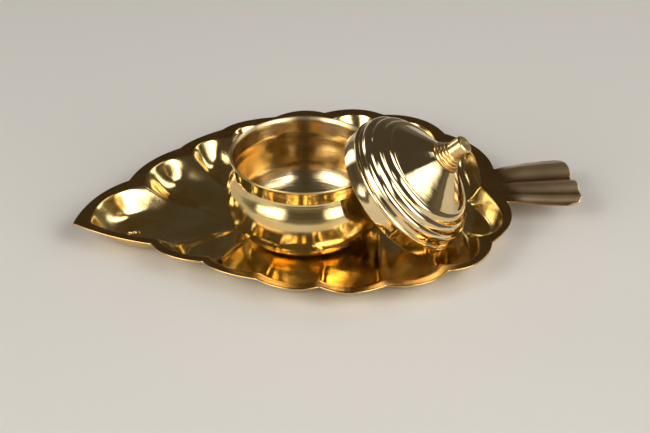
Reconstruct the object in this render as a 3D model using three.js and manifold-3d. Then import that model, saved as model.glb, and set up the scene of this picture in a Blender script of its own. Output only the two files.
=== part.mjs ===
// A kumkum box: a spun brass bowl on a pressed leaf tray, with its lid leaning on the bowl.
// Units are millimetres and +Z is up. The origin is on the table, under the bowl's axis.
// +X runs along the leaf to its stem, -X to its tip, and -Y to the side that faces the viewer.
import * as THREE from "three";
import { mergeVertices } from "three/addons/utils/BufferGeometryUtils.js";
import Module from "manifold-3d";

const wasm = await Module();
wasm.setup();

// Clearances
const resting_gap = 0.3;
const screw_gap = 0.3;

// Leaf tray: one pressed sheet. Its flat rim is narrower on the near side than on the far one.
const leaf_length = 165.6;
const leaf_width = 134;
const leaf_tip_to_bowl = 88.2;
const leaf_midrib_behind_bowl = 7.5;
const tray_sheet = 0.8;
const tray_height = 10;
const far_rim_width = 3.9;
const far_rim_notch_width = 6.2;
const near_rim_width = 3.2;
const near_rim_notch_width = 3.4;
const rim_tip_width = 6.5;
const rim_root_width = 6.2;
const wall_run = 10.5;
const notch_wall_run = 18;
const vein_height = 2;
const bowl_seat_radius = 24;
const vein_fade_length = 14;

// Stem handle: the same sheet, drawn out and fluted
const stem_length = 29;
const stem_end_width = 34;
const stem_skew = 2.2;
const stem_flute_height = 1.2;
const stem_notch_depth = 1.2;
const stem_flute_count = 3;

// Spun metal of the bowl and the lid
const spun_wall = 0.7;

// Bowl, with heights above its foot
const bowl_height = 33;
const bowl_rim_radius = 29;
const bowl_foot_radius = 17;
const bowl_belly_radius = 30.2;
const bowl_belly_height = 12.7;
const bowl_shoulder_radius = 27.5;
const bowl_shoulder_height = 25.8;
const bowl_neck_radius = 27.3;
const bowl_neck_height = 27.1;

// Lid, with heights above its mouth
const lid_inside_lip = 1.1;
const lid_skirt_height = 5.4;
const lid_bead_radius = 0.9;
const lid_shoulder_width = 0.4;
const lid_shoulder_height = 8;
const lid_ring_count = 3;
const lid_ring_rise = 0.7;
const lid_cone_radius = 19.2;
const lid_cone_height = 17.3;
const lid_top_radius = 6.6;
const lid_top_height = 25.4;

// Knob, with heights above its seat on the lid
const knob_foot_radius = 6.3;
const knob_foot_height = 0.7;
const knob_low_ring_radius = 5.6;
const knob_high_ring_radius = 4.4;
const knob_ring_groove = 0.4;
const knob_ring_count = 3;
const knob_rings_height = 3.4;
const knob_barrel_radius = 3.6;
const knob_height = 10;
const knob_edge = 0.5;

// Screw and washer that hold the knob from inside the lid
const screw_radius = 1.5;
const screw_grip_length = 4.5;
const screw_head_radius = 3;
const screw_head_height = 1.8;
const screw_slot_width = 0.8;
const screw_slot_depth = 0.8;
const washer_radius = 4;
const washer_height = 0.6;
const screw_hole_radius = screw_radius + screw_gap;

// How the lid leans: its axis from upright, the way it faces round the bowl, and how far the flank of
// the vein that it stands on rises above the tray's floor
const lid_lean = THREE.MathUtils.degToRad(46.3);
const lid_heading = THREE.MathUtils.degToRad(-21.6);
const lid_seat_rise = 0.25;

// Mesh fineness
const round_steps = 48;
const knob_steps = 32;
const screw_steps = 24;
const lobe_steps = 6;
const root_steps = 16;
const stem_steps = 6;
const wall_steps = 5;
const curve_steps = 6;
const bend_steps = 2;
const ring_steps = 4;
const edge_steps = 3;

// Leaf outline. Each row is one lobe, from the tip to the stem. It gives the notch that ends the lobe,
// as shares of the leaf's length and half width, and the lobe's crown, as shares of the lobe's chord:
// how far it swells out and how far along it lies.
const near_lobe_shares = [
  [0.167, -0.336, 0.050, 0.50],
  [0.273, -0.560, 0.130, 0.47],
  [0.379, -0.776, 0.090, 0.42],
  [0.511, -0.907, 0.155, 0.54],
  [0.656, -0.954, 0.180, 0.46],
  [0.801, -0.875, 0.165, 0.52],
  [0.923, -0.646, 0.187, 0.48],
  [0.998, -0.243, 0.136, 0.53],
];
const far_lobe_shares = [
  [0.143, 0.358, 0.102, 0.53],
  [0.278, 0.676, 0.095, 0.50],
  [0.391, 0.854, 0.065, 0.42],
  [0.528, 0.952, 0.100, 0.42],
  [0.652, 0.951, 0.165, 0.53],
  [0.795, 0.867, 0.157, 0.52],
  [0.925, 0.575, 0.170, 0.50],
  [1.003, 0.119, 0.128, 0.50],
];
const tip_across_share = -0.05;

// Where the vein from each notch meets the midrib, and where the midrib starts, along the leaf's length
const vein_foot_shares = [0.42, 0.49, 0.56, 0.64, 0.73, 0.81, 0.88, 0.93];
const midrib_start_share = 0.134;

// How far along and across a vein's bend lies, the powers by which a crest thins out to its sides,
// sinks towards the midrib and falls from the rim, and the most of a vein that the rim's wall takes
const vein_pull_along_share = 0.4;
const vein_pull_across_share = 0.3;
const crest_power = 1.5;
const sink_power = 2;
const wall_power = 0.62;
const longest_wall_share = 0.9;

// Where the last scoop's inner line leaves its own lobe and follows the stem's root
const root_start_share = 0.7;

// Rows of the floor between a wall's foot and the midrib
const floor_row_shares = [0.2, 0.45, 0.7];

// Stem outline: how much of its length the end's round corners take
const stem_corner_share = 0.25;
const stem_notch_width_share = 0.15;

// Bowl outline: how far the handles of its curves reach, as shares of the heights and widths they span
const bowl_foot_handle_share = 0.45;
const bowl_belly_low_handle_share = 0.5;
const bowl_belly_high_handle_share = 0.64;
const bowl_shoulder_in_handle_share = 0.31;
const bowl_shoulder_down_handle_share = 0.28;
const bowl_neck_low_handle_share = 0.33;
const bowl_neck_high_handle_share = 0.35;
const bowl_flare_handle_share = 0.45;

// Lid outline: the pull of the dome's curve, and where its first ring starts along it
const dome_in_share = 0.2;
const dome_up_share = 0.57;
const first_ring_share = 0.12;

const brass_tray = new THREE.MeshStandardMaterial({ color: 0xb98a3c, roughness: 0.32, metalness: 1 });
const brass_bowl = new THREE.MeshStandardMaterial({ color: 0xd9ad4f, roughness: 0.14, metalness: 1 });
const brass_lid = new THREE.MeshStandardMaterial({ color: 0xd6b062, roughness: 0.12, metalness: 1 });
const brass_knob = new THREE.MeshStandardMaterial({ color: 0xd8b056, roughness: 0.2, metalness: 1 });
const brass_screw = new THREE.MeshStandardMaterial({ color: 0xb08d45, roughness: 0.4, metalness: 1 });

// A solid of revolution about Z. The profile runs up the outside and down the inside, as (radius, height).
function revolve(profile, steps) {
  const geometry = new THREE.LatheGeometry(profile, steps);
  geometry.rotateX(Math.PI / 2);
  return geometry;
}

// Points of a curve, with the last left out where the next curve starts there
function curve_points(curve, steps, with_last = false) {
  const points = curve.getPoints(steps);
  return with_last ? points : points.slice(0, -1);
}

// A line of points moved to its left by a wall's thickness
function offset_left(points, distance) {
  return points.map((point, i) => {
    const before = points[Math.max(0, i - 1)];
    const after = points[Math.min(points.length - 1, i + 1)];
    const way = after.clone().sub(before).normalize();
    return new THREE.Vector2(point.x - way.y * distance, point.y + way.x * distance);
  });
}

// A half round edge from the outside of a wall to its inside, about the wall's middle line
function round_edge(middle, radius, from_angle, to_angle) {
  const points = [];
  for (let step = 0; step <= edge_steps; step++) {
    const angle = THREE.MathUtils.lerp(from_angle, to_angle, step / edge_steps);
    points.push(new THREE.Vector2(middle.x + radius * Math.cos(angle), middle.y + radius * Math.sin(angle)));
  }
  return points;
}

// A sheet of even thickness below a surface. The triangles run anticlockwise seen from above.
function sheet_solid(surface, triangles, thickness) {
  const normals = surface.map(() => new THREE.Vector3());
  for (const [a, b, c] of triangles) {
    const side = surface[b].clone().sub(surface[a]);
    const face = side.cross(surface[c].clone().sub(surface[a]));
    for (const corner of [a, b, c]) {
      normals[corner].add(face);
    }
  }
  const below = surface.map((point, i) => point.clone().addScaledVector(normals[i].normalize(), -thickness));
  const count = surface.length;
  const indices = [];
  const edges = new Set();
  for (const [a, b, c] of triangles) {
    indices.push(a, b, c, a + count, c + count, b + count);
    edges.add(`${a},${b}`).add(`${b},${c}`).add(`${c},${a}`);
  }
  for (const edge of edges) {
    const [a, b] = edge.split(",").map(Number);
    if (!edges.has(`${b},${a}`)) {
      indices.push(b, a, a + count, b, a + count, b + count);
    }
  }
  const geometry = new THREE.BufferGeometry().setFromPoints([...surface, ...below]);
  geometry.setIndex(indices);
  geometry.computeVertexNormals();
  return geometry;
}

// The lobes of one side, each with its two notches, its crown and its way out
function leaf_lobes(lobe_shares) {
  const half_width = leaf_width / 2;
  let start = new THREE.Vector2(0, tip_across_share * half_width);
  return lobe_shares.map(([along, across, swell, lean]) => {
    const end = new THREE.Vector2(along * leaf_length, across * half_width);
    const chord = end.clone().sub(start);
    const outward = new THREE.Vector2(-chord.y, chord.x).multiplyScalar(Math.sign(across));
    const crown = start.clone().addScaledVector(chord, lean).addScaledVector(outward, swell);
    const lobe = { start, end, crown, outward: outward.normalize() };
    start = end;
    return lobe;
  });
}

// A curve that passes through its crown half way
function through(start, crown, end) {
  const pull = crown.clone().multiplyScalar(2).sub(start.clone().lerp(end, 1 / 2));
  return new THREE.QuadraticBezierCurve(start, pull, end);
}

// One side of the leaf, from the tip to the middle of the stem's root, as stations along its edge. A
// station holds its edge point, the rim's inner point, how near it is to the crest between two scoops,
// from 0 to 1, and where its row of the floor meets the midrib.
function leaf_side(lobe_shares, rim_width, rim_notch_width, root_middle) {
  const lobes = leaf_lobes(lobe_shares);
  const last = lobes.length - 1;
  const stations = [];
  let cusp = new THREE.Vector2(rim_tip_width, lobes[0].start.y);
  let foot = midrib_start_share * leaf_length;
  lobes.forEach((lobe, number) => {
    let next_cusp = new THREE.Vector2(root_middle.x - rim_root_width, root_middle.y);
    if (number < last) {
      const outward = lobe.outward.clone().add(lobes[number + 1].outward).normalize();
      next_cusp = lobe.end.clone().addScaledVector(outward, -rim_notch_width);
    }
    const next_foot = vein_foot_shares[number] * leaf_length;
    const inner_crown = lobe.crown.clone().addScaledVector(lobe.outward, -rim_width);
    const inner = through(cusp, inner_crown, next_cusp);
    const outer = through(lobe.start, lobe.crown, lobe.end);
    const reach = number === last ? root_start_share : 1;
    const steps = number === last ? lobe_steps + root_steps / 2 : lobe_steps;
    for (let step = number === 0 ? 0 : 1; step <= steps; step++) {
      const on_lobe = Math.min(step / lobe_steps, 1);
      const on_root = Math.max(step - lobe_steps, 0) / (root_steps / 2);
      const part = on_lobe * reach + on_root * (1 - reach);
      const crest = ((1 + Math.cos(2 * Math.PI * part)) / 2) ** crest_power;
      stations.push({
        edge: outer.getPoint(on_lobe).lerp(root_middle, on_root),
        inner: inner.getPoint(part),
        ridge: number === 0 && part < 1 / 2 ? 0 : crest,
        foot: THREE.MathUtils.lerp(foot, next_foot, part),
      });
    }
    cusp = next_cusp;
    foot = next_foot;
  });
  return stations;
}

// One row of the dish, from the rim's inner line along the bend of a vein, without its end on the midrib
function dish_row({ inner, ridge, foot }) {
  const bowl_middle = new THREE.Vector2(leaf_tip_to_bowl, -leaf_midrib_behind_bowl);
  const bend = new THREE.Vector2(
    THREE.MathUtils.lerp(inner.x, foot, vein_pull_along_share),
    inner.y * vein_pull_across_share,
  );
  const path = new THREE.QuadraticBezierCurve(inner, bend, new THREE.Vector2(foot, 0));
  const path_length = path.getLength();
  const longest_run = longest_wall_share * path_length;
  const run = Math.min(THREE.MathUtils.lerp(wall_run, notch_wall_run, ridge), longest_run);
  const stops = [];
  for (let step = 0; step <= wall_steps; step++) {
    stops.push(run * step / wall_steps);
  }
  for (const share of floor_row_shares) {
    stops.push(THREE.MathUtils.lerp(run, path_length, share));
  }
  return stops.map((stop) => {
    const place = path.getPointAt(stop / path_length);
    const from_seat = (place.distanceTo(bowl_middle) - bowl_seat_radius) / vein_fade_length;
    const fade = THREE.MathUtils.clamp(from_seat, 0, 1) * (1 - stop / path_length) ** sink_power;
    const floor_height = tray_sheet + ridge * vein_height * fade;
    const fall = (1 + Math.cos(Math.PI * Math.min(stop / run, 1) ** wall_power)) / 2;
    return new THREE.Vector3(place.x, place.y, THREE.MathUtils.lerp(floor_height, tray_height, fall));
  });
}

// Height of the stem above the rim, and its place in plan, at a part of its length and of its width
function stem_point(root, along, across) {
  const corner = 1 - stem_corner_share + stem_corner_share * (1 - across ** 4) ** (1 / 4);
  const notch = stem_notch_depth * Math.max(0, 1 - Math.abs(across) / stem_notch_width_share);
  const reach = along * (stem_length * corner - notch);
  const spread = 1 - (1 - reach / stem_length) ** 2;
  const half_width = THREE.MathUtils.lerp(root.half_width, stem_end_width / 2, spread);
  const flutes = stem_flute_height * (1 + Math.cos(Math.PI * stem_flute_count * across)) / 2;
  return new THREE.Vector3(
    root.middle.x + reach + (1 - along) * root.slant * across,
    root.middle.y + across * half_width - stem_skew * along,
    tray_height + flutes * along,
  );
}

function make_leaf_tray() {
  const near_root = leaf_lobes(near_lobe_shares).at(-1).end;
  const far_root = leaf_lobes(far_lobe_shares).at(-1).end;
  const root_middle = near_root.clone().lerp(far_root, 1 / 2);
  const near = leaf_side(near_lobe_shares, near_rim_width, near_rim_notch_width, root_middle);
  const far = leaf_side(far_lobe_shares, far_rim_width, far_rim_notch_width, root_middle);
  near.forEach((station, i) => { station.spine = i; });
  far.forEach((station, i) => { station.spine = i; });
  const stations = [...near, ...far.slice(1, -1).reverse()];

  const surface = [];
  const triangles = [];
  const add_point = (point) => surface.push(point) - 1;
  const rows = stations.map((station) => {
    const edge = new THREE.Vector3(station.edge.x, station.edge.y, tray_height);
    return [edge, ...dish_row(station)].map(add_point);
  });
  const spine = near.map((station) => add_point(new THREE.Vector3(station.foot, 0, tray_sheet)));
  stations.forEach((station, i) => {
    const next = (i + 1) % stations.length;
    const row = [...rows[i], spine[station.spine]];
    const next_row = [...rows[next], spine[stations[next].spine]];
    for (let j = 0; j < row.length - 1; j++) {
      triangles.push([row[j], next_row[j], next_row[j + 1]]);
      if (row[j + 1] !== next_row[j + 1]) {
        triangles.push([row[j], next_row[j + 1], row[j + 1]]);
      }
    }
  });

  const root = {
    middle: root_middle,
    half_width: (far_root.y - near_root.y) / 2,
    slant: (far_root.x - near_root.x) / 2,
  };
  const root_first = near.length - 1 - root_steps / 2;
  let column = Array.from({ length: root_steps + 1 }, (_, step) => rows[root_first + step][0]);
  for (let row_step = 1; row_step <= stem_steps; row_step++) {
    const next_column = [];
    for (let step = 0; step <= root_steps; step++) {
      const place = stem_point(root, row_step / stem_steps, 2 * step / root_steps - 1);
      next_column.push(add_point(place));
    }
    for (let step = 0; step < root_steps; step++) {
      triangles.push([column[step], next_column[step], next_column[step + 1]]);
      triangles.push([column[step], next_column[step + 1], column[step + 1]]);
    }
    column = next_column;
  }
  const geometry = sheet_solid(surface, triangles, tray_sheet);
  geometry.translate(-leaf_tip_to_bowl, leaf_midrib_behind_bowl, 0);
  return geometry;
}

function make_bowl() {
  const foot = new THREE.Vector2(bowl_foot_radius, 0);
  const belly = new THREE.Vector2(bowl_belly_radius, bowl_belly_height);
  const shoulder = new THREE.Vector2(bowl_shoulder_radius, bowl_shoulder_height);
  const neck = new THREE.Vector2(bowl_neck_radius, bowl_neck_height);
  const edge_radius = spun_wall / 2;
  const lip = new THREE.Vector2(bowl_rim_radius, bowl_height - edge_radius);
  const belly_to_shoulder = shoulder.y - belly.y;
  const neck_to_lip = lip.y - neck.y;
  const under = new THREE.CubicBezierCurve(
    foot,
    new THREE.Vector2(foot.x + bowl_foot_handle_share * (belly.x - foot.x), 0),
    new THREE.Vector2(belly.x, belly.y * (1 - bowl_belly_low_handle_share)),
    belly,
  );
  const side = new THREE.CubicBezierCurve(
    belly,
    new THREE.Vector2(belly.x, belly.y + bowl_belly_high_handle_share * belly_to_shoulder),
    new THREE.Vector2(
      THREE.MathUtils.lerp(shoulder.x, belly.x, bowl_shoulder_in_handle_share),
      shoulder.y - bowl_shoulder_down_handle_share * belly_to_shoulder,
    ),
    shoulder,
  );
  const bend = new THREE.QuadraticBezierCurve(
    shoulder,
    new THREE.Vector2(neck.x, THREE.MathUtils.lerp(neck.y, shoulder.y, bowl_neck_low_handle_share)),
    neck,
  );
  const flare = new THREE.CubicBezierCurve(
    neck,
    new THREE.Vector2(neck.x, neck.y + bowl_neck_high_handle_share * neck_to_lip),
    new THREE.Vector2(lip.x, lip.y - bowl_flare_handle_share * neck_to_lip),
    lip,
  );
  const outside = [
    ...curve_points(under, curve_steps),
    ...curve_points(side, curve_steps),
    ...curve_points(bend, bend_steps),
    ...curve_points(flare, curve_steps, true),
  ];
  const inside = offset_left(outside, spun_wall);
  inside[0].set(foot.x, spun_wall);
  inside[inside.length - 1].set(lip.x - spun_wall, lip.y);
  const lip_middle = new THREE.Vector2(lip.x - edge_radius, lip.y);
  return revolve([
    new THREE.Vector2(0, 0),
    ...outside,
    ...round_edge(lip_middle, edge_radius, 0, Math.PI).slice(1, -1),
    ...inside.reverse(),
    new THREE.Vector2(0, spun_wall),
  ], round_steps);
}

const lid_mouth_radius = bowl_rim_radius - spun_wall - lid_inside_lip;

// The lid's outer line from the top of its mouth's edge to the seat of the knob
function lid_outside() {
  const bead_middle = new THREE.Vector2(lid_mouth_radius, lid_skirt_height + lid_bead_radius);
  const shoulder = new THREE.Vector2(lid_mouth_radius + lid_shoulder_width, lid_shoulder_height);
  const cone_foot = new THREE.Vector2(lid_cone_radius, lid_cone_height);
  const pull = new THREE.Vector2(
    THREE.MathUtils.lerp(shoulder.x, cone_foot.x, dome_in_share),
    THREE.MathUtils.lerp(shoulder.y, cone_foot.y, dome_up_share),
  );
  const dome = new THREE.QuadraticBezierCurve(shoulder, pull, cone_foot);
  const points = [new THREE.Vector2(lid_mouth_radius, spun_wall / 2)];
  points.push(...round_edge(bead_middle, lid_bead_radius, -Math.PI / 2, Math.PI / 2));
  points.push(shoulder);
  const dome_steps = lid_ring_count * ring_steps;
  for (let step = 0; step <= dome_steps; step++) {
    const part = THREE.MathUtils.lerp(first_ring_share, 1, step / dome_steps);
    const along = dome.getTangent(part);
    const rise = lid_ring_rise * Math.abs(Math.sin(Math.PI * step / ring_steps));
    points.push(dome.getPoint(part).addScaledVector(new THREE.Vector2(along.y, -along.x), rise));
  }
  points.push(new THREE.Vector2(lid_top_radius, lid_top_height));
  return points;
}

// The lid's inner line, which is straight behind the bead and follows the outer one from the shoulder on
function lid_inside() {
  const outside = lid_outside();
  const shoulder_index = edge_steps + 2;
  const dome = offset_left(outside.slice(shoulder_index), spun_wall);
  dome[dome.length - 1].set(lid_top_radius, lid_top_height - spun_wall);
  const skirt_radius = lid_mouth_radius - spun_wall;
  return [
    new THREE.Vector2(skirt_radius, spun_wall / 2),
    new THREE.Vector2(skirt_radius, lid_skirt_height),
    ...dome,
  ];
}

function make_lid_shell() {
  const edge_middle = new THREE.Vector2(lid_mouth_radius - spun_wall / 2, spun_wall / 2);
  const mouth_edge = round_edge(edge_middle, spun_wall / 2, -Math.PI, 0).slice(1, -1);
  const outside = lid_outside();
  return revolve([
    ...outside,
    new THREE.Vector2(screw_hole_radius, lid_top_height),
    new THREE.Vector2(screw_hole_radius, lid_top_height - spun_wall),
    ...lid_inside().reverse(),
    ...mouth_edge,
    outside[0],
  ], round_steps);
}

function make_lid_knob() {
  const hole_depth = screw_grip_length + screw_gap;
  const profile = [
    new THREE.Vector2(0, hole_depth),
    new THREE.Vector2(screw_hole_radius, hole_depth),
    new THREE.Vector2(screw_hole_radius, 0),
    new THREE.Vector2(knob_foot_radius, 0),
    new THREE.Vector2(knob_foot_radius, knob_foot_height / 2),
    new THREE.Vector2(knob_low_ring_radius, knob_foot_height),
  ];
  const ring_height = knob_rings_height / knob_ring_count;
  for (let ring = 0; ring < knob_ring_count; ring++) {
    const foot = knob_foot_height + ring * ring_height;
    const part = ring / (knob_ring_count - 1);
    const radius = THREE.MathUtils.lerp(knob_low_ring_radius, knob_high_ring_radius, part);
    profile.push(new THREE.Vector2(radius, foot + ring_height / 2));
    profile.push(new THREE.Vector2(radius - knob_ring_groove, foot + ring_height));
  }
  profile.push(
    new THREE.Vector2(knob_barrel_radius, knob_foot_height + knob_rings_height + knob_edge),
    new THREE.Vector2(knob_barrel_radius, knob_height - knob_edge),
    new THREE.Vector2(knob_barrel_radius - knob_edge, knob_height),
    new THREE.Vector2(0, knob_height),
  );
  return revolve(profile, knob_steps);
}

// The screw's head is down and its shank points up, from the head's flat side at height zero
function make_knob_screw() {
  const shank_length = washer_height + spun_wall + 3 * resting_gap + screw_grip_length;
  const profile = [new THREE.Vector2(0, -screw_head_height)];
  const crown = new THREE.EllipseCurve(0, 0, screw_head_radius, screw_head_height, -Math.PI / 2, 0);
  profile.push(...crown.getPoints(edge_steps + 1).slice(1));
  profile.push(
    new THREE.Vector2(screw_radius, 0),
    new THREE.Vector2(screw_radius, shank_length),
    new THREE.Vector2(0, shank_length),
  );
  const slot = new THREE.BoxGeometry(
    2 * screw_head_radius + screw_slot_width,
    screw_slot_width,
    2 * screw_slot_depth,
  );
  slot.translate(0, 0, -screw_head_height);
  return cut(revolve(profile, screw_steps), slot);
}

function make_knob_washer() {
  return revolve([
    new THREE.Vector2(screw_hole_radius, 0),
    new THREE.Vector2(washer_radius, 0),
    new THREE.Vector2(washer_radius, washer_height),
    new THREE.Vector2(screw_hole_radius, washer_height),
    new THREE.Vector2(screw_hole_radius, 0),
  ], screw_steps);
}

// A closed mesh as a solid that can be cut
function to_solid(geometry) {
  const bare = geometry.clone();
  bare.deleteAttribute("normal");
  bare.deleteAttribute("uv");
  const merged = mergeVertices(bare);
  return new wasm.Manifold(new wasm.Mesh({
    numProp: 3,
    vertProperties: new Float32Array(merged.attributes.position.array),
    triVerts: new Uint32Array(merged.index.array),
  }));
}

function cut(geometry, tool) {
  const mesh = to_solid(geometry).subtract(to_solid(tool)).getMesh();
  const result = new THREE.BufferGeometry();
  result.setAttribute("position", new THREE.BufferAttribute(mesh.vertProperties, 3));
  result.setIndex(new THREE.BufferAttribute(mesh.triVerts, 1));
  result.computeVertexNormals();
  return result;
}

// The lid stands on the tray by one point of its mouth's edge, and two more points rest on the bowl's lip.
// Both edges are half round, so each is a circle, its middle line, with the edge's radius round it.
const edge_radius = spun_wall / 2;
const bowl_foot_height = tray_sheet + resting_gap;
const lip_circle_radius = bowl_rim_radius - edge_radius;
const lip_circle_height = bowl_foot_height + bowl_height - edge_radius;
const mouth_circle_radius = lid_mouth_radius - edge_radius;
const lid_foot_height = tray_sheet + lid_seat_rise + resting_gap;
const mouth_circle_middle = lid_foot_height + edge_radius + mouth_circle_radius * Math.sin(lid_lean);

// The least distance between the two middle lines, with the mouth's middle at a given reach from the axis
function distance_to_lip(reach) {
  const probes = 720;
  let least = Infinity;
  for (let probe = 0; probe < probes; probe++) {
    const angle = 2 * Math.PI * probe / probes;
    const uphill = mouth_circle_radius * Math.sin(angle);
    const sideways = mouth_circle_radius * Math.cos(angle);
    const radius = Math.hypot(reach - uphill * Math.cos(lid_lean), sideways);
    const height = mouth_circle_middle + uphill * Math.sin(lid_lean);
    least = Math.min(least, Math.hypot(radius - lip_circle_radius, height - lip_circle_height));
  }
  return least;
}

// The reach at which the two lines cross is closed form. The edges then part until their gap is right.
function lid_reach() {
  const uphill = (lip_circle_height - mouth_circle_middle) / Math.sin(lid_lean);
  const sideways_square = mouth_circle_radius ** 2 - uphill ** 2;
  let low = uphill * Math.cos(lid_lean) + Math.sqrt(lip_circle_radius ** 2 - sideways_square);
  let high = low + mouth_circle_radius;
  const wanted = 2 * edge_radius + resting_gap;
  const halvings = 40;
  for (let step = 0; step < halvings; step++) {
    const middle = (low + high) / 2;
    if (distance_to_lip(middle) < wanted) {
      low = middle;
    } else {
      high = middle;
    }
  }
  return high;
}

function add_piece(parent, name, geometry, material, height) {
  const mesh = new THREE.Mesh(geometry, material);
  mesh.name = name;
  mesh.position.z = height;
  parent.add(mesh);
}

const kumkum_box = new THREE.Group();
add_piece(kumkum_box, "leaf_tray", make_leaf_tray(), brass_tray, 0);
add_piece(kumkum_box, "bowl", make_bowl(), brass_bowl, bowl_foot_height);

// The lid's own frame has its mouth's plane at height zero, half an edge below the edge's middle line
const lid = new THREE.Group();
const reach = lid_reach() - edge_radius * Math.sin(lid_lean);
lid.position.set(
  reach * Math.cos(lid_heading),
  reach * Math.sin(lid_heading),
  mouth_circle_middle - edge_radius * Math.cos(lid_lean),
);
lid.rotation.set(0, lid_lean, lid_heading, "ZYX");
kumkum_box.add(lid);

const washer_seat = lid_top_height - spun_wall - resting_gap - washer_height;
add_piece(lid, "lid_shell", make_lid_shell(), brass_lid, 0);
add_piece(lid, "lid_knob", make_lid_knob(), brass_knob, lid_top_height + resting_gap);
add_piece(lid, "knob_washer", make_knob_washer(), brass_screw, washer_seat);
add_piece(lid, "knob_screw", make_knob_screw(), brass_screw, washer_seat - resting_gap);

export default kumkum_box;
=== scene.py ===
# %% [markdown]
# # A kumkum box in polished brass
#
# This is a small pot for the red powder that marks the forehead. It stands on a tray pressed in the
# shape of a leaf, and its lid is off and leans on its lip. Every piece is brass, so nearly all that
# the eye sees is reflection: the shapes and the lamps do more here than any colour. The lesson
# loads the measured model as a fixed frame, and then makes each piece again as a fine mesh in its
# place.
#
# Lengths are worked out in metres, which is Blender's unit, and written in millimetres.

# %% Frame
import math

import bpy
from mathutils import Matrix, Vector


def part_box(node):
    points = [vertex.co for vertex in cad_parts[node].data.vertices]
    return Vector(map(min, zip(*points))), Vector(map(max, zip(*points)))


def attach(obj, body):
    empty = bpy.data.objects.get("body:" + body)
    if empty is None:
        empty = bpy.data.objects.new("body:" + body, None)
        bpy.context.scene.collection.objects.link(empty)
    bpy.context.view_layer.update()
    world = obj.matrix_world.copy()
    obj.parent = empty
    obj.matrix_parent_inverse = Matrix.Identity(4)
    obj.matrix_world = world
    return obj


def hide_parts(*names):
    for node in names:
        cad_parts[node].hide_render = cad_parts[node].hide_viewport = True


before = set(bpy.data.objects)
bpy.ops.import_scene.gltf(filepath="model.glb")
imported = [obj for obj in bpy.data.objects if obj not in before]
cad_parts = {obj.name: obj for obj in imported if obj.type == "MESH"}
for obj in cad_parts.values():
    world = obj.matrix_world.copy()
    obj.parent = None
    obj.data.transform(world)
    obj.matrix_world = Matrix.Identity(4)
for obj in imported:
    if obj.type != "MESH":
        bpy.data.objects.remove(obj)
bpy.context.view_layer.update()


def mm(length):
    """A length given in millimetres, in Blender's metres"""
    return length * 0.001


# %% [markdown]
# ## Camera
#
# The object was photographed with a long lens from about 40 cm above the table. A long lens keeps
# the oval of the bowl's lip nearly the same in front and behind, which is how small goods are often
# shown. A camera could be placed by its coordinates, but two angles and a distance are easier to
# match to a picture: it stands back along them and looks at a point beside the bowl's foot.

# %% Camera
camera_turn = math.radians(-9.8)
camera_height = math.radians(32.5)
camera_distance = mm(769)
camera_lens_mm = 110.8
aim_point = Vector((mm(7.9), mm(1.4), mm(4.2)))


def direction(turn, height):
    """The way out from the object, at a turn from the front and a height above the table"""
    flat = math.cos(height)
    return Vector((math.sin(turn) * flat, -math.cos(turn) * flat, math.sin(height)))


camera = bpy.data.objects.new("camera", bpy.data.cameras.new("camera"))
bpy.context.collection.objects.link(camera)
camera.data.lens = camera_lens_mm
camera.location = aim_point + camera_distance * direction(camera_turn, camera_height)
camera.rotation_euler = (camera.location - aim_point).to_track_quat("Z", "Y").to_euler()
bpy.context.scene.camera = camera
print("Camera at", [round(value, 3) for value in camera.location])

# %% [markdown]
# ## Nodes
#
# Each finish below is a small network of shader nodes. One helper adds a node, sets it and links
# it, so a network reads from top to bottom. Colours are written as sRGB hex values, the way that a
# paint chart or a picture editor gives them, and one function turns them into the linear light that
# the renderer works in. The nodes could be joined by hand in the editor, but a script can be read,
# repeated and changed.

# %% Node helper
# The Mix node's inputs share their names, so they are reached by place: one pair for numbers, and
# one pair for colours, whose result is the third output
number_a, number_b = 2, 3
colour_a, colour_b, mixed_colour = 6, 7, 2


def add_node(tree, kind, inputs, **settings):
    """Add a node. An input is a plain value, or the output of another node to link from."""
    node = tree.nodes.new("ShaderNode" + kind)
    for name, value in settings.items():
        setattr(node, name, value)
    for name, value in inputs.items():
        if isinstance(value, bpy.types.NodeSocket):
            tree.links.new(value, node.inputs[name])
        else:
            node.inputs[name].default_value = value
    return node


def linear(hex_colour):
    """An sRGB hex colour as linear red, green, blue and alpha"""
    channels = [int(hex_colour[place:place + 2], 16) / 255 for place in (1, 3, 5)]
    light = [c / 12.92 if c <= 0.04045 else ((c + 0.055) / 1.055) ** 2.4 for c in channels]
    return (*light, 1)


def new_material(name):
    """An empty material and the tree for its nodes"""
    material = bpy.data.materials.new(name)
    material.use_nodes = True
    material.node_tree.nodes.clear()
    return material, material.node_tree


print("Mid grey in linear light:", round(linear("#808080")[0], 3))

# %% [markdown]
# ## Floor
#
# Polished metal has hardly a colour of its own. It shows the room, so the room is built first, and
# it begins with a sheet of pale matt paper to stand on. One large flat square does for it. A curved
# backdrop would show its bend in the brass, and this one runs on past every edge of the picture.

# %% Floor
floor_width = 6
floor_colour = "#d2cdc5"
floor_roughness = 0.9


def make_floor():
    mesh = bpy.data.meshes.new("floor")
    half = floor_width / 2
    corners = [(-half, -half, 0), (half, -half, 0), (half, half, 0), (-half, half, 0)]
    mesh.from_pydata(corners, [], [(0, 1, 2, 3)])
    floor = bpy.data.objects.new("floor", mesh)
    bpy.context.collection.objects.link(floor)
    material, tree = new_material("matt paper backdrop")
    paper = add_node(tree, "BsdfPrincipled", {
        "Base Color": linear(floor_colour),
        "Roughness": floor_roughness,
    })
    add_node(tree, "OutputMaterial", {"Surface": paper.outputs[0]})
    mesh.materials.append(material)


make_floor()
print("Floor:", floor_width, "m wide")

# %% [markdown]
# ## Room
#
# A dim room stands round the floor. It gives the deep tones between the highlights, and without
# them brass looks like plastic. It could be a photographed surrounding, but a plain one is enough:
# its walls are paler near the horizon, where they catch light from the floor.

# %% Room
room_colour = "#48433c"
horizon_colour = "#6b655c"
horizon_height = 0.05
room_height = 0.35


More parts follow.
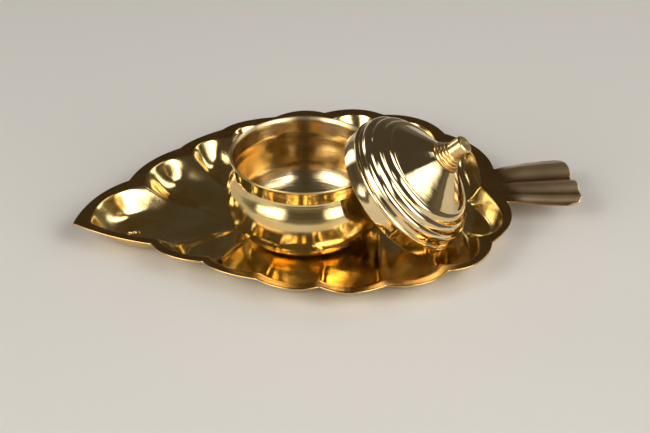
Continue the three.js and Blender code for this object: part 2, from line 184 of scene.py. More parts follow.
def make_room():
    """The room's colour by height: paler near the horizon, and dim above it"""
    world = bpy.data.worlds.new("studio")
    bpy.context.scene.world = world
    world.use_nodes = True
    tree = world.node_tree
    tree.nodes.clear()
    way = add_node(tree, "TexCoord", {})
    height = add_node(tree, "SeparateXYZ", {"Vector": way.outputs["Generated"]})
    band = add_node(tree, "MapRange", {
        "Value": height.outputs["Z"],
        "From Min": horizon_height,
        "From Max": room_height,
    }, interpolation_type="SMOOTHSTEP")
    colour = add_node(tree, "Mix", {
        "Factor": band.outputs["Result"],
        colour_a: linear(horizon_colour),
        colour_b: linear(room_colour),
    }, data_type="RGBA")
    light = add_node(tree, "Background", {"Color": colour.outputs[mixed_colour], "Strength": 1})
    add_node(tree, "OutputWorld", {"Surface": light.outputs[0]})


make_room()
print("Room:", room_colour, "above, and", horizon_colour, "at the horizon")

# %% [markdown]
# ## Lamps
#
# The long highlights on the brass are pictures of soft boxes, so each box stands where one of them
# points: two large ones in front, a strip at the far right, and a low one behind at the left for
# the scoops beside the stem. A plain area lamp would leave a square with hard edges in the brass.
# Real soft boxes glow most in the middle of their cloth, so each lamp's shader fades it towards its
# edges, and the highlights end softly. A grid over the cloth, which is the lamp's spread, keeps the
# light on the object and off the floor below the lamp.

# %% Lamps
lamp_distance = 1.3
lamp_side_fade = 0.36
lamp_top_fade = 0.12
lamp_middle = (0.5, 0.5, 0)
lamp_half = 0.5


def fade_edges(lamp):
    """Let the lamp's cloth glow fully in its middle and fade towards its four edges"""
    lamp.use_nodes = True
    tree = lamp.node_tree
    tree.nodes.clear()
    place = add_node(tree, "NewGeometry", {}).outputs["Parametric"]
    from_middle = add_node(tree, "VectorMath", {0: place, 1: lamp_middle}, operation="SUBTRACT")
    apart = add_node(tree, "VectorMath", {0: from_middle.outputs[0]}, operation="ABSOLUTE")
    split = add_node(tree, "SeparateXYZ", {"Vector": apart.outputs[0]})
    fades = [
        add_node(tree, "MapRange", {
            "Value": split.outputs[side],
            "From Min": lamp_half,
            "From Max": lamp_half - fade_share,
        }, interpolation_type="SMOOTHSTEP").outputs["Result"]
        for side, fade_share in (("X", lamp_side_fade), ("Y", lamp_top_fade))
    ]
    glow = add_node(tree, "Math", {0: fades[0], 1: fades[1]}, operation="MULTIPLY")
    light = add_node(tree, "Emission", {"Strength": glow.outputs[0]})
    add_node(tree, "OutputLight", {"Surface": light.outputs[0]})


def add_lamp(name, turn, height, width, length, brightness, spread=120):
    """A soft box that faces the object, with its turn, height and spread in degrees. Brightness is
    its power by area, and a narrower spread gathers the light, so it needs less."""
    lamp = bpy.data.lights.new(name, "AREA")
    fade_edges(lamp)
    lamp.shape = "RECTANGLE"
    lamp.size = width
    lamp.size_y = length
    lamp.energy = brightness * math.pi * width * length
    lamp.spread = math.radians(spread)
    soft_box = bpy.data.objects.new(name, lamp)
    bpy.context.collection.objects.link(soft_box)
    soft_box.location = lamp_distance * direction(math.radians(turn), math.radians(height))
    soft_box.rotation_euler = soft_box.location.to_track_quat("Z", "Y").to_euler()
    soft_box.visible_camera = False


add_lamp("left soft box", turn=-60, height=29, width=1.4, length=1.2, brightness=2.4)
add_lamp("right soft box", turn=42, height=31, width=1.4, length=1.3, brightness=2.4)
add_lamp("far strip box", turn=106, height=36, width=0.46, length=1.05, brightness=1.5)
add_lamp("back left box", turn=-138, height=17, width=0.75, length=0.42, brightness=0.33, spread=60)
bpy.context.scene.view_settings.view_transform = "Standard"
print("Lamps:", [item.name for item in bpy.data.lights])

# %% [markdown]
# ## Brass
#
# Brass is copper with about a third of zinc. Its surface reflects red and yellow light strongly and
# blue light weakly, so a neutral lamp comes back pale gold. Light that bounces twice or three
# times, from the bowl to the tray and back, is filtered each time and comes back deep amber. So the
# base colour stays pale, and the deep gold is left to the bounces. A picture of brass could be
# wrapped round the pieces, but it would stretch, so each finish mixes two tones of brass in soft
# patches, because handled brass never stays one colour. Every finish is fully metallic, and its IOR
# keeps the default, since a metal's base colour already says how it reflects.

# %% Tones of brass
# Noise seldom leaves this range, so the range is stretched to the whole of a mix
noise_low, noise_high = 0.35, 0.65
tone_detail = 4


def patches(tree, width_mm, low, high, detail=2):
    """A value that drifts between low and high in soft patches of about this width"""
    place = add_node(tree, "TexCoord", {}).outputs["Object"]
    noise = add_node(tree, "TexNoise", {
        "Vector": place,
        "Scale": 1 / mm(width_mm),
        "Detail": detail,
    })
    return add_node(tree, "MapRange", {
        "Value": noise.outputs[0],
        "From Min": noise_low,
        "From Max": noise_high,
        "To Min": low,
        "To Max": high,
    }).outputs["Result"]


def two_tones(tree, colour, deeper_colour, width_mm):
    """Brass that is a little deeper in some patches than in others"""
    return add_node(tree, "Mix", {
        "Factor": patches(tree, width_mm, 0, 1, tone_detail),
        colour_a: linear(colour),
        colour_b: linear(deeper_colour),
    }, data_type="RGBA").outputs[mixed_colour]


finishes = {}
print("Polished brass in linear light:", [round(channel, 2) for channel in linear("#f3dca2")[:3]])

# %% [markdown]
# ## Rings of the lathe
#
# The spun pieces turned on a lathe while a tool pressed the sheet against a form, and the polishing
# mop followed the same way round. That leaves fine rings. Plain noise would give blotches, so this
# noise is read in four dimensions: it changes fast up the wall and out from the axis, and slowly
# round it, so its blotches are drawn out into rings.

# %% Ring lines
def ring_lines(tree, spacing_mm, low, high):
    """A value that changes fast up the wall of a turned piece and slowly round it"""
    place = add_node(tree, "Attribute", {}, attribute_name="turned_place").outputs["Vector"]
    split = add_node(tree, "SeparateXYZ", {"Vector": place})
    flat = add_node(tree, "CombineXYZ", {"X": split.outputs["X"], "Y": split.outputs["Y"]})
    radius = add_node(tree, "VectorMath", {0: flat.outputs[0]}, operation="LENGTH").outputs["Value"]
    round_way = add_node(tree, "VectorMath", {0: flat.outputs[0]}, operation="NORMALIZE").outputs[0]
    lines_per_metre = 1 / mm(spacing_mm)
    out = add_node(tree, "Math", {0: radius, 1: lines_per_metre}, operation="MULTIPLY").outputs[0]
    up = add_node(tree, "Math", {0: split.outputs["Z"], 1: lines_per_metre}, operation="MULTIPLY")
    rise = add_node(tree, "CombineXYZ", {"Z": up.outputs[0]}).outputs[0]
    spot = add_node(tree, "VectorMath", {0: round_way, 1: rise}, operation="ADD").outputs[0]
    noise = add_node(tree, "TexNoise", {
        "Vector": spot,
        "W": out,
        "Scale": 1,
    }, noise_dimensions="4D")
    return add_node(tree, "MapRange", {
        "Value": noise.outputs[0],
        "From Min": noise_low,
        "From Max": noise_high,
        "To Min": low,
        "To Max": high,
    }).outputs["Result"]


# The mop's rings are about 0.1 mm apart, too fine to show here, so they are drawn as wide as shows
mop_ring_spacing_mm = 0.5
print("Mop rings drawn", mop_ring_spacing_mm, "mm apart")

# %% [markdown]
# ## Pressed sheet
#
# The tray's dish is buffed to a soft mirror, with a roughness between 0.1 and 0.2 as polished brass
# has. The mop can't follow the flat rim and the stem so hard, and they stay satin. One material
# does for the whole sheet, as the real one is a single piece: height tells it where the rim is, and
# the distance from the bowl where the stem is. The stem is brown, and the crests of its flutes are
# painted pale, a painted highlight. The press leaves broad, shallow waves, and they bend every
# reflection in the dish.

# %% Zones of the pressed sheet
# Heights at which the rim and a flute's crest, where a highlight is painted, begin and are full,
# and the stem's way from the bowl
rim_begins, rim_full = mm(9.3), mm(9.9)
crest_highlight_begins, crest_highlight_full = mm(10.1), mm(11.5)
stem_begins, stem_full = mm(75), mm(84)
zones = [
    ("Z", rim_begins, rim_full),
    ("Z", crest_highlight_begins, crest_highlight_full),
    ("X", stem_begins, stem_full),
]


def sheet_zones(tree):
    """Values that rise smoothly from 0 to 1 on the rim, on the flutes' crests and on the stem"""
    place = add_node(tree, "TexCoord", {}).outputs["Object"]
    split = add_node(tree, "SeparateXYZ", {"Vector": place})
    return [
        add_node(tree, "MapRange", {
            "Value": split.outputs[axis],
            "From Min": begins,
            "From Max": full,
        }, interpolation_type="SMOOTHSTEP").outputs["Result"]
        for axis, begins, full in zones
    ]


print("The rim turns satin from", round(rim_begins * 1000, 1), "mm up")

# %% Colour and surface of the pressed sheet
press_wave_width_mm = 12
press_wave_depth_mm = 0.1
# The mop's scratches are finer than a hair, so they are drawn wider and kept very shallow
scratch_width_mm = 0.9
scratch_depth_mm = 0.008


def sheet_colour(tree, on_rim, crest_highlight, on_stem):
    """Pale gold in the dish, deeper on the rim, and brown on the stem with a painted crest
    highlight
    """
    # The crests of the stem's flutes are painted pale, as a painted highlight
    stem_colour = add_node(tree, "Mix", {
        "Factor": crest_highlight,
        colour_a: two_tones(tree, "#a17a52", "#8d6846", width_mm=14),
        colour_b: two_tones(tree, "#ffe6b8", "#efcf9d", width_mm=14),
    }, data_type="RGBA")
    satin_colour = add_node(tree, "Mix", {
        "Factor": on_stem,
        colour_a: two_tones(tree, "#cda463", "#b78f52", width_mm=12),
        colour_b: stem_colour.outputs[mixed_colour],
    }, data_type="RGBA")
    return add_node(tree, "Mix", {
        "Factor": on_rim,
        colour_a: two_tones(tree, "#f2da9e", "#e2bf76", width_mm=16),
        colour_b: satin_colour.outputs[mixed_colour],
    }, data_type="RGBA").outputs[mixed_colour]


def sheet_surface(tree):
    """The press's shallow waves with the mop's scratches over them"""
    wave = add_node(tree, "Bump", {
        "Height": patches(tree, press_wave_width_mm, 0, 1),
        "Distance": mm(press_wave_depth_mm),
    })
    return add_node(tree, "Bump", {
        "Height": patches(tree, scratch_width_mm, 0, 1, detail=3),
        "Distance": mm(scratch_depth_mm),
        "Normal": wave.outputs[0],
    }).outputs[0]


print("Press waves:", press_wave_width_mm, "mm wide and", press_wave_depth_mm, "mm deep")

# %% Pressed sheet
dish_roughness = (0.11, 0.19)
rim_roughness = (0.17, 0.25)
stem_roughness = (0.3, 0.36)
dish_patch_mm = 7
satin_patch_mm = 9


def pressed_brass():
    """Pressed sheet: a buffed dish, a satin rim, and a stem with a painted highlight on its crests
    """
    material, tree = new_material("pressed brass sheet")
    on_rim, crest_highlight, on_stem = sheet_zones(tree)
    satin = add_node(tree, "Mix", {
        "Factor": on_stem,
        number_a: patches(tree, satin_patch_mm, *rim_roughness),
        number_b: patches(tree, satin_patch_mm, *stem_roughness),
    })
    roughness = add_node(tree, "Mix", {
        "Factor": on_rim,
        number_a: patches(tree, dish_patch_mm, *dish_roughness, detail=5),
        number_b: satin.outputs[0],
    })
    shader = add_node(tree, "BsdfPrincipled", {
        "Base Color": sheet_colour(tree, on_rim, crest_highlight, on_stem),
        "Metallic": 1,
        "Roughness": roughness.outputs[0],
        "Normal": sheet_surface(tree),
    })
    add_node(tree, "OutputMaterial", {"Surface": shader.outputs[0]})
    return material


finishes["tray_brass"] = pressed_brass()
print("Tray:", finishes["tray_brass"].name)

# %% [markdown]
# ## Spun and polished sheet
#
# The bowl and the lid are mirror bright outside, with soft waves left by the spinning. The mop's
# rings blur a reflection up and down the wall and keep it crisp from side to side, so the shader is
# told which way the wall runs. A rougher mirror could be blurred evenly, but then the highlights
# would be round, and on spun brass they are streaks. The mop doesn't reach the inside so well, so
# the tool's marks and a duller shine stay there, and fingers keep the lip satin.

# %% Marks on spun sheet
spun_wave_width_mm = 11
spun_wave_depth_mm = 0.06
mop_ring_depth_mm = 0.006
# The tool moves about 1 mm in each turn, and its marks are drawn wider so that they show
tool_mark_spacing_mm = 2.2
tool_mark_depth_mm = 0.05


def spun_surface(tree, inside):
    """Soft waves, the mop's rings over them, and the tool's marks where the mop can't reach"""
    wave = add_node(tree, "Bump", {
        "Height": patches(tree, spun_wave_width_mm, 0, 1),
        "Distance": mm(spun_wave_depth_mm),
    })
    mop_rings = add_node(tree, "Bump", {
        "Height": ring_lines(tree, mop_ring_spacing_mm, 0, 1),
        "Distance": mm(mop_ring_depth_mm),
        "Normal": wave.outputs[0],
    })
    return add_node(tree, "Bump", {
        "Height": ring_lines(tree, tool_mark_spacing_mm, 0, 1),
        "Strength": inside,
        "Distance": mm(tool_mark_depth_mm),
        "Normal": mop_rings.outputs[0],
    }).outputs[0]


print("Tool marks drawn", tool_mark_spacing_mm, "mm apart")

# %% Spun sheet
mop_ring_spread = 0.15
inside_roughness = 0.19
lip_roughness = 0.38
lip_blend = mm(1.4)
bowl_lip_height = mm(31.2)
# A metre up, above every piece, for a lid whose edge is polished too
above_all = 1


def spun_brass(name, colours, roughness, blur_up_wall, lip_height=above_all):
    """Spun and polished sheet: a mirror outside, tool marks inside, satin above the lip height"""
    material, tree = new_material(name)
    inside = add_node(tree, "Attribute", {}, attribute_name="inside").outputs["Fac"]
    place = add_node(tree, "Attribute", {}, attribute_name="turned_place").outputs["Vector"]
    height = add_node(tree, "SeparateXYZ", {"Vector": place}).outputs["Z"]
    on_lip = add_node(tree, "MapRange", {
        "Value": height,
        "From Min": lip_height,
        "From Max": lip_height + lip_blend,
    }, interpolation_type="SMOOTHSTEP").outputs["Result"]
    up_the_wall = add_node(tree, "Attribute", {}, attribute_name="up_the_wall").outputs["Vector"]
    smoother, rougher = 1 - mop_ring_spread, 1 + mop_ring_spread
    outer, inner = [
        ring_lines(tree, mop_ring_spacing_mm, middle * smoother, middle * rougher)
        for middle in (roughness, inside_roughness)
    ]
    polished = add_node(tree, "Mix", {"Factor": inside, number_a: outer, number_b: inner})
    satin = add_node(tree, "Mix", {
        "Factor": on_lip,
        number_a: polished.outputs[0],
        number_b: lip_roughness,
    })
    tone = add_node(tree, "Mix", {
        "Factor": inside,
        colour_a: two_tones(tree, *colours, width_mm=14),
        colour_b: two_tones(tree, "#edd9ab", "#dabf8b", width_mm=9),
    }, data_type="RGBA")
    shader = add_node(tree, "BsdfPrincipled", {
        "Base Color": tone.outputs[mixed_colour],
        "Metallic": 1,
        "Roughness": satin.outputs[0],
        "Anisotropic": blur_up_wall,
        "Tangent": up_the_wall,
        "Normal": spun_surface(tree, inside),
    })
    add_node(tree, "OutputMaterial", {"Surface": shader.outputs[0]})
    return material


finishes["bowl_brass"] = spun_brass(
    "polished spun brass",
    colours=("#f3dca2", "#e8c884"),
    roughness=0.14,
    blur_up_wall=0.7,
    lip_height=bowl_lip_height,
)
# The lid was buffed once more, so it is a sharper mirror
finishes["lid_brass"] = spun_brass(
    "buffed spun brass",
    colours=("#f3deb2", "#ecd199"),
    roughness=0.055,
    blur_up_wall=0.3,
)
print("Bowl and lid:", finishes["bowl_brass"].name, "and", finishes["lid_brass"].name)

# %% [markdown]
# ## Turned rod and small parts
#
# The knob is cut from solid rod, and the cutter leaves fine rings, so it shines softly. The screw
# and its washer are machine made, barrel polished and never buffed, which leaves them duller and
# darker. The same two helpers draw both finishes, at the sizes that suit such small pieces.

# %% Turned rod, screw and washer
# The cutter really moves about 0.1 mm in each turn
cutter_ring_spacing_mm = 0.35
cutter_ring_depth_mm = 0.006


def turned_brass():
    """Solid rod cut to shape on a lathe: the cutter's fine rings are left, so it shines softly"""
    material, tree = new_material("turned brass rod")
    cut = add_node(tree, "Bump", {
        "Height": ring_lines(tree, cutter_ring_spacing_mm, 0, 1),
        "Distance": mm(cutter_ring_depth_mm),
    })
    shader = add_node(tree, "BsdfPrincipled", {
        "Base Color": two_tones(tree, "#efd598", "#e0bb76", width_mm=8),
        "Metallic": 1,
        "Roughness": ring_lines(tree, cutter_ring_spacing_mm, low=0.2, high=0.28),
        "Normal": cut.outputs[0],
    })
    add_node(tree, "OutputMaterial", {"Surface": shader.outputs[0]})
    return material


def screw_brass():
    """Small parts tumbled together in a barrel, which evens them but leaves them dull"""
    material, tree = new_material("barrel polished brass")
    shader = add_node(tree, "BsdfPrincipled", {
        "Base Color": two_tones(tree, "#dcb878", "#be9455", width_mm=2),
        "Metallic": 1,
        "Roughness": patches(tree, width_mm=0.8, low=0.3, high=0.45),
    })
    add_node(tree, "OutputMaterial", {"Surface": shader.outputs[0]})
    return material


finishes["knob_brass"] = turned_brass()
finishes["screw_brass"] = screw_brass()
print("Finishes:", [material.name for material in finishes.values()])

# %% [markdown]
# ## Curves and turned pieces
#
# The bowl, the lid, the knob, the washer and the screw are all turned, so each is one outline spun
# about its axis. The outline is drawn with curves pulled by a few points, as a drawing program
# does. Real edges are never razor sharp, and a tiny round on each one catches a thin line of light.
# A bevel modifier could round them, but a helper that rounds the outline keeps the mesh clean.

# %% Curve helpers
corner_steps = 4


def curve_point(points, part):
    """A point of the curve that these points pull, at a part of its length"""
    points = [Vector(point) for point in points]
    while len(points) > 1:
        points = [a.lerp(b, part) for a, b in zip(points, points[1:])]
    return points[0]


def curve(points, steps, with_last=False):
    """The curve as a line of points. The last one is left to the next curve, unless asked for."""
    return [curve_point(points, step / steps) for step in range(steps + with_last)]


def arc(middle, radius, start, end, steps):
    """Points of an arc, from one angle in degrees to another, ends included"""
    points = []
    for step in range(steps + 1):
        angle = math.radians(start + (end - start) * step / steps)
        across, up = radius * math.cos(angle), radius * math.sin(angle)
        points.append(Vector((middle[0] + across, middle[1] + up)))
    return points


def offset_left(points, distance):
    """A line of points moved to its left by a wall's thickness"""
    moved = []
    for i, point in enumerate(points):
        way = (points[min(i + 1, len(points) - 1)] - points[max(i - 1, 0)]).normalized()
        moved.append(point + distance * Vector((-way.y, way.x)))
    return moved


def soften(profile, radius, sharpest=math.radians(15)):
    """Round each corner of an outline that turns more than the sharpest angle"""
    softened = [profile[0]]
    for before, corner, after in zip(profile, profile[1:], profile[2:]):
        back, ahead = before - corner, after - corner
        if back.length and ahead.length and back.angle(-ahead) > sharpest:
            reach = min(radius, back.length / 2, ahead.length / 2)
            start = corner + reach * back.normalized()
            end = corner + reach * ahead.normalized()
            softened += curve([start, corner, end], corner_steps, with_last=True)
        else:
            softened.append(corner)
    return softened + [profile[-1]]


square = [Vector((0, 0)), Vector((1, 0)), Vector((1, 1)), Vector((0, 1))]
print("A square's open outline, softened, has", len(soften(square, 0.1)), "points")

# %% [markdown]
# ## Pieces on the frame
#
# Each new piece takes the place of one measured solid. The frame has to know which one it replaces,
# which body it rides on when the lid or the bowl is lifted, and which finish it carries. Two small
# helpers do this the same way for every piece, so that none is forgotten.

# %% Piece helpers
def add_piece(name, vertices, faces):
    """A new object from a mesh that is shaded smooth"""
    mesh = bpy.data.meshes.new(name)
    mesh.from_pydata(vertices, [], faces)
    mesh.shade_smooth()
    piece = bpy.data.objects.new(name, mesh)
    bpy.context.collection.objects.link(piece)
    print(name, "has", len(faces), "faces")
    return piece


def stand_for(piece, node, body, slot):
    """The piece takes the node's place on its body, with the finish of its slot"""
    piece.data.materials.append(finishes[slot])
    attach(piece, body)
    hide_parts(node)


print("Solids to replace:", sorted(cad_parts))

# %% [markdown]
# ## Turning
#
# Blender's Screw modifier could spin an outline, but the finish of spun brass asks for more: each
# point has to remember where it was on the lathe, which way the wall runs there, and whether it is
# inside. So the net is made here ring by ring, and it keeps these three as fields for the shader.

# %% Turned solid
on_axis = mm(0.001)


def keep_field(piece, name, vectors):
    """Give each point of a piece a vector that its finish can read"""
    field = piece.data.attributes.new(name, "FLOAT_VECTOR", "POINT")
    field.data.foreach_set("vector", [number for vector in vectors for number in vector])


def turn_solid(name, profile, steps, place, first_inside=None):
    """Spin an outline of radius and height about Z, which ends on the axis or where it began, and
    set the solid in its place. From the first inside point on, the outline is the inner wall."""
    closed = (profile[0] - profile[-1]).length < on_axis
    outline = profile[:-1] if closed else profile
    turned, ways, rings = [], [], []
    for i, (radius, height) in enumerate(outline):
        behind = outline[i - 1] if closed else outline[max(i - 1, 0)]
        ahead = outline[(i + 1) % len(outline)] if closed else outline[min(i + 1, len(outline) - 1)]
        way = (ahead - behind).normalized()
        ring_steps = 1 if radius < on_axis else steps
        rings.append([len(turned) + step % ring_steps for step in range(steps)])
        for step in range(ring_steps):
            turn = 2 * math.pi * step / steps
            turned.append(Vector((radius * math.cos(turn), radius * math.sin(turn), height)))
            ways.append(Vector((way.x * math.cos(turn), way.x * math.sin(turn), way.y)))
    if closed:
        rings.append(rings[0])
    faces = []
    for ring, ring_above in zip(rings, rings[1:]):
        for step in range(steps):
            after = (step + 1) % steps
            corners = dict.fromkeys([ring[step], ring[after], ring_above[after], ring_above[step]])
            if len(corners) > 2:
                faces.append(list(corners))
    piece = add_piece(name, [place @ point for point in turned], faces)
    keep_field(piece, "turned_place", turned)
    keep_field(piece, "up_the_wall", [place.to_3x3() @ way for way in ways])
    if first_inside is not None:
        field = piece.data.attributes.new("inside", "FLOAT", "POINT")
        start = rings[first_inside][0]
        field.data.foreach_set("value", [float(i >= start) for i in range(len(turned))])
    return piece


print("A ring within", round(on_axis * 1000, 4), "mm of the axis becomes one point")

# %% [markdown]
# ## Seats
#
# A turned piece that leans needs its axis and its foot. These could be typed as numbers, but they
# would go wrong when the model changes. The lean is a known angle, and the rest is read from the
# measured model: turned back upright, the piece's box has the axis in its middle and the foot at
# its bottom. So a new piece always lands where the measured one is.

# %% Seat of a turned piece
def seat(node, turn):
    """Where a turned piece stands: its own frame, with the axis up and the foot at height zero"""
    points = [turn.inverted() @ vertex.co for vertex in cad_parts[node].data.vertices]
    low = Vector([min(point[i] for point in points) for i in range(3)])
    high = Vector([max(point[i] for point in points) for i in range(3)])
    foot = Vector(((low.x + high.x) / 2, (low.y + high.y) / 2, low.z))
    return Matrix.Translation(turn @ foot) @ turn.to_4x4()


upright = Matrix.Identity(3)
lid_lean = math.radians(46.3)
lid_heading = math.radians(-21.6)
leaning = Matrix.Rotation(lid_heading, 3, "Z") @ Matrix.Rotation(lid_lean, 3, "Y")
print("Lid seat", [round(value, 4) for value in seat("lid_shell", leaning).translation])

# %% [markdown]
# ## Bowl
#
# The bowl starts as a flat disc of sheet. Spinning pulls it out over the belly, in at the neck and
# out again at the lip, and its wall stays nearly even. It could be sculpted from a ball, but an
# outline and a turn are how the real one is made. The outline is four curves that run on into each
# other, but for a faint crease at the shoulder, where the neck is drawn in. The inside is the same
# line moved in by the wall. The lip turns out, so that a finger can lift the bowl, and its cut edge
# is dressed half round.

# %% Outer line of the bowl
spun_wall = mm(0.7)
bowl_height = mm(33)
bowl_lip_radius = mm(28.45)
lip_turn_out = math.radians(50)
bowl_foot_radius = mm(17)
bowl_belly = Vector((mm(30.2), mm(12.7)))
bowl_shoulder = Vector((mm(27.2), mm(25.8)))
bowl_neck = Vector((mm(27.0), mm(27.1)))
neck_lean = math.radians(13)
# How far the points that pull a curve stand from its ends, as shares of the span between them
foot_pull_out = 0.45
belly_pull_down = 0.5
belly_pull_up = 0.64
shoulder_pull_out = 0.31
shoulder_pull_down = 0.28
neck_pull_down = 0.4
neck_pull_up = 0.55
lip_pull_down = 0.22
belly_steps = 32
bend_steps = 8
flare_steps = 16
lip_round = spun_wall / 2
lip_middle = Vector((bowl_lip_radius - lip_round, bowl_height - lip_round))


def bowl_outside():
    """The bowl's outer line, from its foot over the belly to where the lip's edge begins"""
    foot = Vector((bowl_foot_radius, 0))
    lip_way = Vector((math.sin(lip_turn_out), math.cos(lip_turn_out)))
    lip = lip_middle + lip_round * Vector((lip_way.y, -lip_way.x))
    to_shoulder = bowl_shoulder.y - bowl_belly.y
    to_lip = lip.y - bowl_neck.y
    under = [
        foot,
        Vector((foot.x + foot_pull_out * (bowl_belly.x - foot.x), 0)),
        Vector((bowl_belly.x, belly_pull_down * bowl_belly.y)),
        bowl_belly,
    ]
    side = [
        bowl_belly,
        Vector((bowl_belly.x, bowl_belly.y + belly_pull_up * to_shoulder)),
        Vector((
            bowl_shoulder.x + shoulder_pull_out * (bowl_belly.x - bowl_shoulder.x),
            bowl_shoulder.y - shoulder_pull_down * to_shoulder,
        )),
        bowl_shoulder,
    ]
    neck_way = Vector((math.sin(neck_lean), math.cos(neck_lean)))
    bend = [
        bowl_shoulder,
        bowl_neck - neck_pull_down * (bowl_neck.y - bowl_shoulder.y) * neck_way,
        bowl_neck,
    ]
    flare = [
        bowl_neck,
        bowl_neck + neck_pull_up * to_lip * neck_way,
        lip - lip_pull_down * to_lip * lip_way,
        lip,
    ]
    line = curve(under, belly_steps) + curve(side, belly_steps)
    return line + curve(bend, bend_steps) + curve(flare, flare_steps, with_last=True)


print("The bowl's outer line has", len(bowl_outside()), "points")

# %% Bowl
spun_steps = 256
lip_steps = 10


def make_bowl():
    outside = bowl_outside()
    inside = offset_left(outside, spun_wall)
    inside[0] = Vector((bowl_foot_radius, spun_wall))
    turn_out = math.degrees(lip_turn_out)
    edge = arc(lip_middle, lip_round, -turn_out, 180 - turn_out, lip_steps)
    half_foot = bowl_foot_radius / 2
    outer = [Vector((0, 0)), Vector((half_foot, 0)), *outside, *edge[1:-1]]
    inner = [*reversed(inside), Vector((half_foot, spun_wall)), Vector((0, spun_wall))]
    return turn_solid("spun_bowl", outer + inner, spun_steps, seat("bowl", upright), len(outer))


stand_for(make_bowl(), "bowl", "bowl", "bowl_brass")

# %% [markdown]
# ## Lid
#
# The lid is spun too. Its skirt drops inside the flared lip of the bowl, and above the skirt a
# small bead stops it. Then come three stepped rings, which stiffen the thin dome, and a cone up to
# the knob. A bump in the shader would draw the rings, but they would vanish at the edge of the
# dome. So they are arches in the outline, set on a pulled curve, and they meet in sharp valleys,
# where a polished lid shows its thinnest and darkest lines.

# %% Outer line of the lid
bowl_rim_radius = mm(29)
lid_inside_lip = mm(1.1)
lid_mouth_radius = bowl_rim_radius - spun_wall - lid_inside_lip
lid_skirt_height = mm(5.4)
lid_bead_radius = mm(0.9)
lid_shoulder = Vector((lid_mouth_radius + mm(0.4), mm(8)))
lid_cone_foot = Vector((mm(19.2), mm(17.3)))
lid_top = Vector((mm(6.6), mm(25.4)))
lid_ring_count = 3
lid_ring_rise = mm(0.7)
valley_share = 0.12
first_ring_share = 0.12
dome_pull_in = 0.2
dome_pull_up = 0.57
bead_steps = 12
ring_steps = 20
cone_steps = 4


def lid_outside():
    """The lid's outer line, from its mouth's edge to the seat of the knob"""
    skirt_top = Vector((lid_mouth_radius, lid_skirt_height))
    mouth = Vector((lid_mouth_radius, spun_wall / 2))
    bead_middle = (lid_mouth_radius, lid_skirt_height + lid_bead_radius)
    bead = arc(bead_middle, lid_bead_radius, -90, 90, bead_steps)
    pull = Vector((
        lid_shoulder.x + dome_pull_in * (lid_cone_foot.x - lid_shoulder.x),
        lid_shoulder.y + dome_pull_up * (lid_cone_foot.y - lid_shoulder.y),
    ))
    dome = [lid_shoulder, pull, lid_cone_foot]
    points = [mouth, mouth.lerp(skirt_top, 0.5), *bead, lid_shoulder]
    dome_steps = lid_ring_count * ring_steps
    for step in range(dome_steps + 1):
        part = first_ring_share + (1 - first_ring_share) * step / dome_steps
        spot = curve_point(dome, part)
        along = (curve_point(dome[1:], part) - curve_point(dome[:2], part)).normalized()
        wave = math.hypot(math.sin(math.pi * step / ring_steps), valley_share) - valley_share
        rise = lid_ring_rise * wave / (math.hypot(1, valley_share) - valley_share)
        points.append(spot + rise * Vector((along.y, -along.x)))
    points += [lid_cone_foot.lerp(lid_top, (step + 1) / cone_steps) for step in range(cone_steps)]
    return points


print("The lid's outer line has", len(lid_outside()), "points")

# %% Lid
screw_hole_radius = mm(1.8)
corner_round = mm(0.12)


def make_lid_shell():
    outside = lid_outside()
    shoulder_index = outside.index(lid_shoulder)
    half_wall = spun_wall / 2
    skirt = lid_mouth_radius - spun_wall
    under_dome = offset_left(outside[shoulder_index:], spun_wall)
    under_dome[-1] = Vector((lid_top.x, lid_top.y - spun_wall))
    inside = [Vector((skirt, half_wall)), Vector((skirt, lid_skirt_height)), *under_dome]
    mouth_edge = arc((lid_mouth_radius - half_wall, half_wall), half_wall, -180, 0, lip_steps)
    profile = [
        *outside,
        Vector((screw_hole_radius, lid_top.y)),
        Vector((screw_hole_radius, lid_top.y - spun_wall)),
        *reversed(inside),
        *mouth_edge[1:-1],
        outside[0],
    ]
    profile = soften(profile, corner_round)
    return turn_solid("spun_lid", profile, spun_steps, seat("lid_shell", leaning))


stand_for(make_lid_shell(), "lid_shell", "lid", "lid_brass")

# %% [markdown]
# ## Knob
#
# The knob is turned from rod: a foot, three fine rings to match the lid's, and a plain barrel with
# a small bevel. The hole from below takes the screw, and the lathe's centre leaves a dimple on top.
# It is one outline again, because a few cylinders put together would show seams that a turned piece
# doesn't have.

# %% Knob
knob_foot_radius = mm(6.3)
knob_foot_height = mm(0.7)
knob_low_ring_radius = mm(5.6)
knob_high_ring_radius = mm(4.4)
knob_ring_groove = mm(0.4)
knob_ring_count = 3
knob_rings_height = mm(3.4)
knob_barrel_radius = mm(3.6)
knob_height = mm(10)
knob_edge = mm(0.5)
knob_hole_depth = mm(4.8)
knob_dimple_radius = mm(0.6)
knob_dimple_depth = mm(0.15)
# Each ring is an arc that ends this many degrees from its crest, and the groove lies beyond
knob_ring_reach = 80
knob_ring_steps = 8
knob_steps = 128


